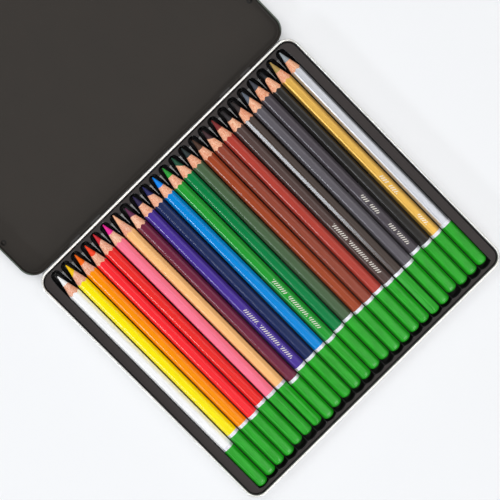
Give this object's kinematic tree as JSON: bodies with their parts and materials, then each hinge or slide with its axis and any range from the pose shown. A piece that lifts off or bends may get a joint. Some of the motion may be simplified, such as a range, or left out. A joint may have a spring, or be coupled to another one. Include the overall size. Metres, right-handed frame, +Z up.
{
  "type": "coloured pencil tin",
  "caption": "Flat hinged tin, lying open, whose formed tray holds a row of sharpened hexagonal coloured pencils with dipped ends.",
  "frame": {"origin": "centre of the base tin's underside, on the surface that it stands on", "axes": "+Z up; +Y along the pencils, from their dipped ends towards their tips, the hinge and the open lid; +X along the hinge, from the white pencil to the silver one"},
  "size_m": [0.212, 0.3762, 0.01],
  "materials": {
    "tinplate": "bright rolled tinplate, clear lacquer",
    "lid_lacquer": "matte charcoal stoving lacquer on tinplate",
    "tray_plastic": "vacuum-formed sheet, satin",
    "hinge_wire": "drawn wire",
    "lacquer_white": "gloss lacquer on cedar",
    "core_white": "waxy pigment core",
    "lacquer_yellow": "gloss lacquer on cedar",
    "core_yellow": "waxy pigment core",
    "lacquer_orange": "gloss lacquer on cedar",
    "core_orange": "waxy pigment core",
    "lacquer_red": "gloss lacquer on cedar",
    "core_red": "waxy pigment core",
    "lacquer_scarlet": "gloss lacquer on cedar",
    "core_scarlet": "waxy pigment core",
    "lacquer_pink": "gloss lacquer on cedar",
    "core_pink": "waxy pigment core",
    "lacquer_peach": "gloss lacquer on cedar",
    "core_peach": "waxy pigment core",
    "lacquer_plum": "gloss lacquer on cedar",
    "core_plum": "waxy pigment core",
    "lacquer_violet": "gloss lacquer on cedar",
    "core_violet": "waxy pigment core",
    "lacquer_navy": "gloss lacquer on cedar",
    "core_navy": "waxy pigment core",
    "lacquer_blue": "gloss lacquer on cedar",
    "core_blue": "waxy pigment core",
    "lacquer_light_green": "gloss lacquer on cedar",
    "core_light_green": "waxy pigment core",
    "lacquer_green": "gloss lacquer on cedar",
    "core_green": "waxy pigment core",
    "lacquer_olive": "gloss lacquer on cedar",
    "core_olive": "waxy pigment core",
    "lacquer_sienna": "gloss lacquer on cedar",
    "core_sienna": "waxy pigment core",
    "lacquer_chestnut": "gloss lacquer on cedar",
    "core_chestnut": "waxy pigment core",
    "lacquer_terracotta": "gloss lacquer on cedar",
    "core_terracotta": "waxy pigment core",
    "lacquer_umber": "gloss lacquer on cedar",
    "core_umber": "waxy pigment core",
    "lacquer_sepia": "gloss lacquer on cedar",
    "core_sepia": "waxy pigment core",
    "lacquer_grey": "gloss lacquer on cedar",
    "core_grey": "waxy pigment core",
    "lacquer_dark_grey": "gloss lacquer on cedar",
    "core_dark_grey": "waxy pigment core",
    "lacquer_black": "gloss lacquer on cedar",
    "core_black": "waxy pigment core",
    "lacquer_gold": "gloss lacquer on cedar",
    "core_gold": "waxy pigment core",
    "lacquer_silver": "gloss lacquer on cedar",
    "core_silver": "waxy pigment core"
  },
  "bodies": {
    "base": {"base_shell": "tinplate", "hinge_wire_left": "hinge_wire", "hinge_wire_right": "hinge_wire"},
    "lid": {"lid_shell": "lid_lacquer"},
    "tray": {"tray": "tray_plastic"},
    "pencil_white": {"pencil_white": "lacquer_white", "lead_white": "core_white"},
    "pencil_yellow": {"pencil_yellow": "lacquer_yellow", "lead_yellow": "core_yellow"},
    "pencil_orange": {"pencil_orange": "lacquer_orange", "lead_orange": "core_orange"},
    "pencil_red": {"pencil_red": "lacquer_red", "lead_red": "core_red"},
    "pencil_scarlet": {"pencil_scarlet": "lacquer_scarlet", "lead_scarlet": "core_scarlet"},
    "pencil_pink": {"pencil_pink": "lacquer_pink", "lead_pink": "core_pink"},
    "pencil_peach": {"pencil_peach": "lacquer_peach", "lead_peach": "core_peach"},
    "pencil_plum": {"pencil_plum": "lacquer_plum", "lead_plum": "core_plum"},
    "pencil_violet": {"pencil_violet": "lacquer_violet", "lead_violet": "core_violet"},
    "pencil_navy": {"pencil_navy": "lacquer_navy", "lead_navy": "core_navy"},
    "pencil_blue": {"pencil_blue": "lacquer_blue", "lead_blue": "core_blue"},
    "pencil_light_green": {"pencil_light_green": "lacquer_light_green", "lead_light_green": "core_light_green"},
    "pencil_green": {"pencil_green": "lacquer_green", "lead_green": "core_green"},
    "pencil_olive": {"pencil_olive": "lacquer_olive", "lead_olive": "core_olive"},
    "pencil_sienna": {"pencil_sienna": "lacquer_sienna", "lead_sienna": "core_sienna"},
    "pencil_chestnut": {"pencil_chestnut": "lacquer_chestnut", "lead_chestnut": "core_chestnut"},
    "pencil_terracotta": {"pencil_terracotta": "lacquer_terracotta", "lead_terracotta": "core_terracotta"},
    "pencil_umber": {"pencil_umber": "lacquer_umber", "lead_umber": "core_umber"},
    "pencil_sepia": {"pencil_sepia": "lacquer_sepia", "lead_sepia": "core_sepia"},
    "pencil_grey": {"pencil_grey": "lacquer_grey", "lead_grey": "core_grey"},
    "pencil_dark_grey": {"pencil_dark_grey": "lacquer_dark_grey", "lead_dark_grey": "core_dark_grey"},
    "pencil_black": {"pencil_black": "lacquer_black", "lead_black": "core_black"},
    "pencil_gold": {"pencil_gold": "lacquer_gold", "lead_gold": "core_gold"},
    "pencil_silver": {"pencil_silver": "lacquer_silver", "lead_silver": "core_silver"}
  },
  "joints": [
    {"name": "lid_hinge", "type": "hinge", "parent": "base", "child": "lid", "pos_m": [0, 0.0942, 0.00651], "axis": [-1, 0, 0], "range_deg": [-180, 0]},
    {"name": "tray_lift", "type": "slide", "parent": "base", "child": "tray", "axis": [0, 0, 1], "range_m": [0, 0.02]},
    {"name": "white_lift", "type": "slide", "parent": "tray", "child": "pencil_white", "axis": [0, 0, 1], "range_m": [0, 0.025]},
    {"name": "yellow_lift", "type": "slide", "parent": "tray", "child": "pencil_yellow", "axis": [0, 0, 1], "range_m": [0, 0.025]},
    {"name": "orange_lift", "type": "slide", "parent": "tray", "child": "pencil_orange", "axis": [0, 0, 1], "range_m": [0, 0.025]},
    {"name": "red_lift", "type": "slide", "parent": "tray", "child": "pencil_red", "axis": [0, 0, 1], "range_m": [0, 0.025]},
    {"name": "scarlet_lift", "type": "slide", "parent": "tray", "child": "pencil_scarlet", "axis": [0, 0, 1], "range_m": [0, 0.025]},
    {"name": "pink_lift", "type": "slide", "parent": "tray", "child": "pencil_pink", "axis": [0, 0, 1], "range_m": [0, 0.025]},
    {"name": "peach_lift", "type": "slide", "parent": "tray", "child": "pencil_peach", "axis": [0, 0, 1], "range_m": [0, 0.025]},
    {"name": "plum_lift", "type": "slide", "parent": "tray", "child": "pencil_plum", "axis": [0, 0, 1], "range_m": [0, 0.025]},
    {"name": "violet_lift", "type": "slide", "parent": "tray", "child": "pencil_violet", "axis": [0, 0, 1], "range_m": [0, 0.025]},
    {"name": "navy_lift", "type": "slide", "parent": "tray", "child": "pencil_navy", "axis": [0, 0, 1], "range_m": [0, 0.025]},
    {"name": "blue_lift", "type": "slide", "parent": "tray", "child": "pencil_blue", "axis": [0, 0, 1], "range_m": [0, 0.025]},
    {"name": "light_green_lift", "type": "slide", "parent": "tray", "child": "pencil_light_green", "axis": [0, 0, 1], "range_m": [0, 0.025]},
    {"name": "green_lift", "type": "slide", "parent": "tray", "child": "pencil_green", "axis": [0, 0, 1], "range_m": [0, 0.025]},
    {"name": "olive_lift", "type": "slide", "parent": "tray", "child": "pencil_olive", "axis": [0, 0, 1], "range_m": [0, 0.025]},
    {"name": "sienna_lift", "type": "slide", "parent": "tray", "child": "pencil_sienna", "axis": [0, 0, 1], "range_m": [0, 0.025]},
    {"name": "chestnut_lift", "type": "slide", "parent": "tray", "child": "pencil_chestnut", "axis": [0, 0, 1], "range_m": [0, 0.025]},
    {"name": "terracotta_lift", "type": "slide", "parent": "tray", "child": "pencil_terracotta", "axis": [0, 0, 1], "range_m": [0, 0.025]},
    {"name": "umber_lift", "type": "slide", "parent": "tray", "child": "pencil_umber", "axis": [0, 0, 1], "range_m": [0, 0.025]},
    {"name": "sepia_lift", "type": "slide", "parent": "tray", "child": "pencil_sepia", "axis": [0, 0, 1], "range_m": [0, 0.025]},
    {"name": "grey_lift", "type": "slide", "parent": "tray", "child": "pencil_grey", "axis": [0, 0, 1], "range_m": [0, 0.025]},
    {"name": "dark_grey_lift", "type": "slide", "parent": "tray", "child": "pencil_dark_grey", "axis": [0, 0, 1], "range_m": [0, 0.025]},
    {"name": "black_lift", "type": "slide", "parent": "tray", "child": "pencil_black", "axis": [0, 0, 1], "range_m": [0, 0.025]},
    {"name": "gold_lift", "type": "slide", "parent": "tray", "child": "pencil_gold", "axis": [0, 0, 1], "range_m": [0, 0.025]},
    {"name": "silver_lift", "type": "slide", "parent": "tray", "child": "pencil_silver", "axis": [0, 0, 1], "range_m": [0, 0.025]}
  ]
}
